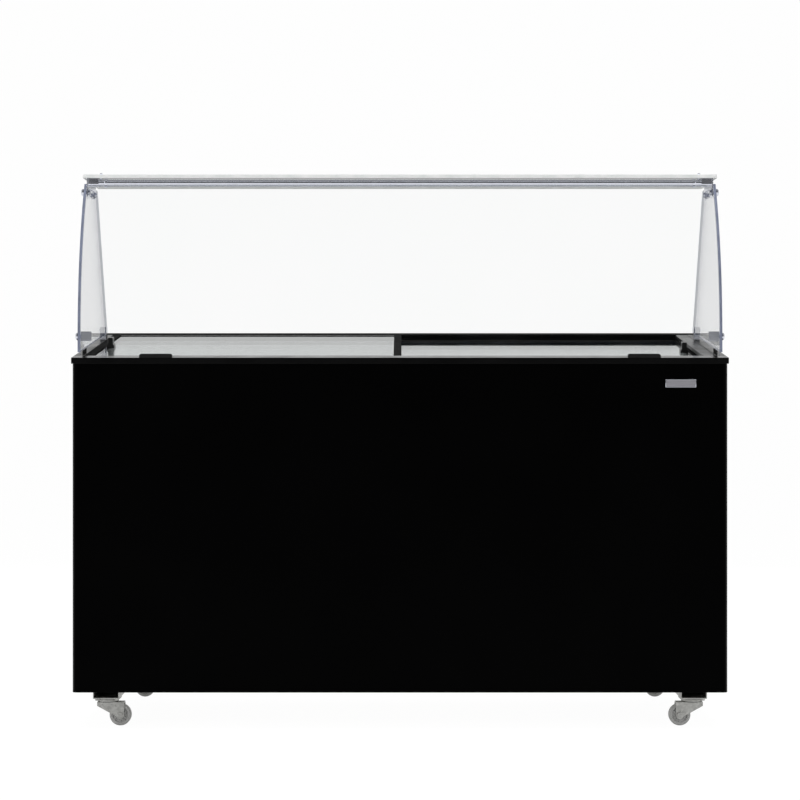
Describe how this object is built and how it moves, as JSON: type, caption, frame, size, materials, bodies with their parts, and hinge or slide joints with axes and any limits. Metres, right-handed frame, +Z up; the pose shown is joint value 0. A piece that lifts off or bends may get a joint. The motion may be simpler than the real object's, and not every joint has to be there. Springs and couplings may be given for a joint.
{
  "type": "chest freezer",
  "caption": "Commercial chest freezer with sloping top, two sliding glass lids on stepped tracks, curved glass serving guard with top shelf, rear controls and swivel casters.",
  "frame": {"origin": "on the floor under the centre of the overall bounding box", "axes": "+Z up, +X along the length to the customer's right, customer side towards -Y, server side towards +Y"},
  "size_m": [1.504, 0.6704, 1.283],
  "materials": {
    "black_painted_steel": "semi-gloss black paint",
    "zinc_steel": "zinc-plated sheet",
    "foam": null,
    "white_liner": "white pre-painted sheet",
    "copper": "drawn copper tube",
    "black_enamel": "black stoved enamel",
    "rubber": "moulded",
    "fin_aluminium": "thin fins",
    "motor_steel": "grey",
    "blade_aluminium": "pressed",
    "black_plastic": "fine texture",
    "lamp_plastic": "translucent",
    "white_plastic": "moulded",
    "badge_metal": "satin",
    "clear_glass": "toughened, clear",
    "lid_glass": "toughened, clear",
    "polished_steel": "polished",
    "grey_nylon": "moulded wheel"
  },
  "bodies": {
    "cabinet": {"outer_wrap": "black_painted_steel", "rear_panel": "black_painted_steel", "base_tray": "zinc_steel", "insulation_foam": "foam", "inner_liner": "white_liner", "evaporator_coil": "copper", "compressor": "black_enamel", "compressor_grommets": "rubber", "condenser": "fin_aluminium", "fan_shroud": "black_enamel", "fan_motor": "motor_steel", "filter_drier": "copper", "refrigerant_lines": "copper", "ventilation_grille": "black_painted_steel", "control_panel": "black_plastic", "indicator_lamps": "lamp_plastic", "power_cord": "rubber", "drain_outlet": "white_plastic", "front_rim": "black_plastic", "rear_rim": "black_plastic", "end_rims": "black_plastic", "slide_tracks": "black_plastic", "right_end_rail": "black_plastic", "front_glass_clips": "black_plastic", "badge": "badge_metal", "side_glasses": "clear_glass", "front_glass": "clear_glass", "top_glass": "clear_glass", "top_tube": "polished_steel", "tube_collars": "polished_steel", "tube_connectors": "polished_steel", "top_glass_pegs": "polished_steel", "side_brackets": "polished_steel", "glass_knobs": "polished_steel", "rear_glass_clamps": "polished_steel", "front_corner_brackets": "polished_steel", "glass_pads": "rubber", "caster_rails": "zinc_steel", "caster_plates": "zinc_steel", "caster_bolts": "zinc_steel"},
    "left_lid": {"left_lid_glass": "lid_glass", "left_lid_end_bars": "black_plastic", "left_lid_edge_rails": "black_plastic", "left_lid_pull": "black_plastic"},
    "right_lid": {"right_lid_glass": "lid_glass", "right_lid_end_bars": "black_plastic", "right_lid_edge_rails": "black_plastic", "right_lid_pull": "black_plastic"},
    "fan": {"fan_blade": "blade_aluminium"},
    "knob": {"thermostat_knob": "black_plastic"},
    "rocker": {"rocker_switch": "black_plastic"},
    "plug": {"drain_plug": "rubber"},
    "swivel_fl": {"caster_fork_fl": "zinc_steel"},
    "wheel_fl": {"caster_wheel_fl": "grey_nylon"},
    "swivel_fr": {"caster_fork_fr": "zinc_steel"},
    "wheel_fr": {"caster_wheel_fr": "grey_nylon"},
    "swivel_rl": {"caster_fork_rl": "zinc_steel"},
    "wheel_rl": {"caster_wheel_rl": "grey_nylon"},
    "swivel_rr": {"caster_fork_rr": "zinc_steel"},
    "wheel_rr": {"caster_wheel_rr": "grey_nylon"}
  },
  "joints": [
    {"name": "left_lid_slide", "type": "slide", "parent": "cabinet", "child": "left_lid", "axis": [1, 0, 0], "range_m": [0, 0.668]},
    {"name": "right_lid_slide", "type": "slide", "parent": "cabinet", "child": "right_lid", "axis": [1, 0, 0], "range_m": [-0.668, 0]},
    {"name": "fan_spin", "type": "hinge", "parent": "cabinet", "child": "fan", "pos_m": [0.605, 0.21285, 0.212], "axis": [0, 1, 0], "continuous": true},
    {"name": "thermostat_turn", "type": "hinge", "parent": "cabinet", "child": "knob", "pos_m": [0.7, 0.31685, 0.37], "axis": [0, -1, 0], "range_deg": [-150, 150]},
    {"name": "rocker_tilt", "type": "hinge", "parent": "cabinet", "child": "rocker", "pos_m": [0.64, 0.31585, 0.37], "axis": [1, 0, 0], "range_deg": [0, 14]},
    {"name": "drain_plug_pull", "type": "slide", "parent": "cabinet", "child": "plug", "axis": [0, 0, 1], "range_m": [0, 0.05]},
    {"name": "caster_swivel_fl", "type": "hinge", "parent": "cabinet", "child": "swivel_fl", "pos_m": [-0.676, -0.26115, 0.055], "axis": [0, 0, 1], "continuous": true},
    {"name": "caster_roll_fl", "type": "hinge", "parent": "swivel_fl", "child": "wheel_fl", "pos_m": [-0.647, -0.26115, 0.025], "axis": [0, 1, 0], "continuous": true},
    {"name": "caster_swivel_fr", "type": "hinge", "parent": "cabinet", "child": "swivel_fr", "pos_m": [0.676, -0.26115, 0.055], "axis": [0, 0, 1], "continuous": true},
    {"name": "caster_roll_fr", "type": "hinge", "parent": "swivel_fr", "child": "wheel_fr", "pos_m": [0.647, -0.26115, 0.025], "axis": [0, 1, 0], "continuous": true},
    {"name": "caster_swivel_rl", "type": "hinge", "parent": "cabinet", "child": "swivel_rl", "pos_m": [-0.676, 0.27185, 0.055], "axis": [0, 0, 1], "continuous": true},
    {"name": "caster_roll_rl", "type": "hinge", "parent": "swivel_rl", "child": "wheel_rl", "pos_m": [-0.647, 0.27185, 0.025], "axis": [0, 1, 0], "continuous": true},
    {"name": "caster_swivel_rr", "type": "hinge", "parent": "cabinet", "child": "swivel_rr", "pos_m": [0.676, 0.27185, 0.055], "axis": [0, 0, 1], "continuous": true},
    {"name": "caster_roll_rr", "type": "hinge", "parent": "swivel_rr", "child": "wheel_rr", "pos_m": [0.647, 0.27185, 0.025], "axis": [0, 1, 0], "continuous": true}
  ]
}
